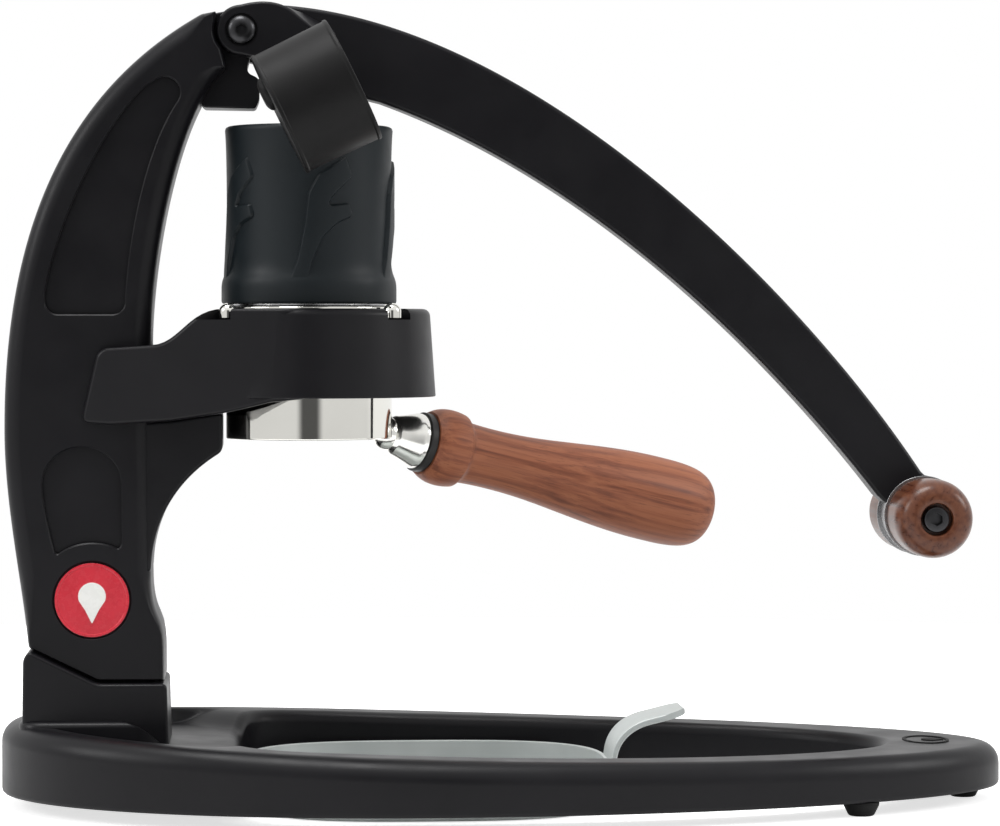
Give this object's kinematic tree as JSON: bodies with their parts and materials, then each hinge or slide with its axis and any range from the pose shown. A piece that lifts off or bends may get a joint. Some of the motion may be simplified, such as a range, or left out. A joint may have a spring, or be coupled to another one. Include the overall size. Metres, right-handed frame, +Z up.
{
  "type": "manual lever espresso maker",
  "caption": "Hand lever espresso maker: oval ring base, curved post, brew ring with portafilter and sleeved cylinder, forked lever with wooden knobs, tilted pressure gauge, drip tray.",
  "frame": {"origin": "middle of the base at table height", "axes": "+X along the base towards the lever's handle, +Y away from the picture's camera, +Z up"},
  "size_m": [0.325, 0.159, 0.2579],
  "materials": {
    "coat": "satin powder coat",
    "foot_rubber": "matte",
    "dark_steel": "blackened",
    "badge_red": "gloss",
    "bronze": "satin",
    "nylon": "matte",
    "chrome": "mirror",
    "steel": "satin",
    "walnut": "oiled",
    "ferrule": "matte",
    "silicone": "matte",
    "seal_rubber": "matte",
    "black_bolt": "blackened",
    "gauge_boot": "matte",
    "bezel": "gloss",
    "glass": "clear",
    "dial": "printed",
    "needle": "gloss",
    "tray": "satin"
  },
  "bodies": {
    "stand": {"base": "coat", "base_feet": "foot_rubber", "post": "coat", "post_bolts": "dark_steel", "brew_yoke": "coat", "yoke_screws": "dark_steel", "badge": "badge_red", "pivot_bush": "bronze", "pivot_washers": "nylon", "portafilter": "chrome", "filter_basket": "steel", "portafilter_neck": "chrome", "grip_ferrule": "ferrule", "portafilter_grip": "walnut", "grip_rod": "steel", "dispersion_screen": "steel", "chamber_seal": "seal_rubber", "brew_cylinder": "steel", "cylinder_sleeve": "silicone"},
    "lever": {"lever_arm": "coat", "pivot_bolt": "dark_steel", "pivot_nut": "dark_steel", "handle_hub": "steel", "handle_washers": "steel", "handle_knob_near": "walnut", "handle_knob_far": "walnut", "handle_bolt": "black_bolt", "handle_nut": "black_bolt"},
    "plunger": {"piston": "steel", "piston_seals": "seal_rubber", "plunger_stem": "steel", "stem_head": "dark_steel", "gauge_fitting": "steel", "gauge_case": "gauge_boot", "gauge_bezel": "bezel", "gauge_lens": "glass", "gauge_dial": "dial", "gauge_movement": "bronze", "bourdon_tube": "bronze"},
    "needle": {"gauge_needle": "needle"},
    "tray": {"drip_tray": "tray"}
  },
  "joints": [
    {"name": "lever_hinge", "type": "hinge", "parent": "stand", "child": "lever", "pos_m": [-0.0851, 0, 0.2488], "axis": [0, -1, 0], "range_deg": [0, 70]},
    {"name": "plunger_slide", "type": "slide", "parent": "stand", "child": "plunger", "axis": [0, 0, 1], "range_m": [0, 0.03]},
    {"name": "needle_hinge", "type": "hinge", "parent": "plunger", "child": "needle", "pos_m": [-0.06178, -0.0489, 0.22539], "axis": [-0.8988, 0, -0.4384], "range_deg": [0, 270], "stiffness_Nm_per_rad": 0.00002, "springref_deg": -17.19},
    {"name": "tray_lift", "type": "slide", "parent": "stand", "child": "tray", "axis": [0, 0, 1], "range_m": [0, 0.045]}
  ],
  "couplings": [
    {"joint": "plunger_slide", "follows": "lever_hinge", "m_per_rad": 0.021}
  ]
}
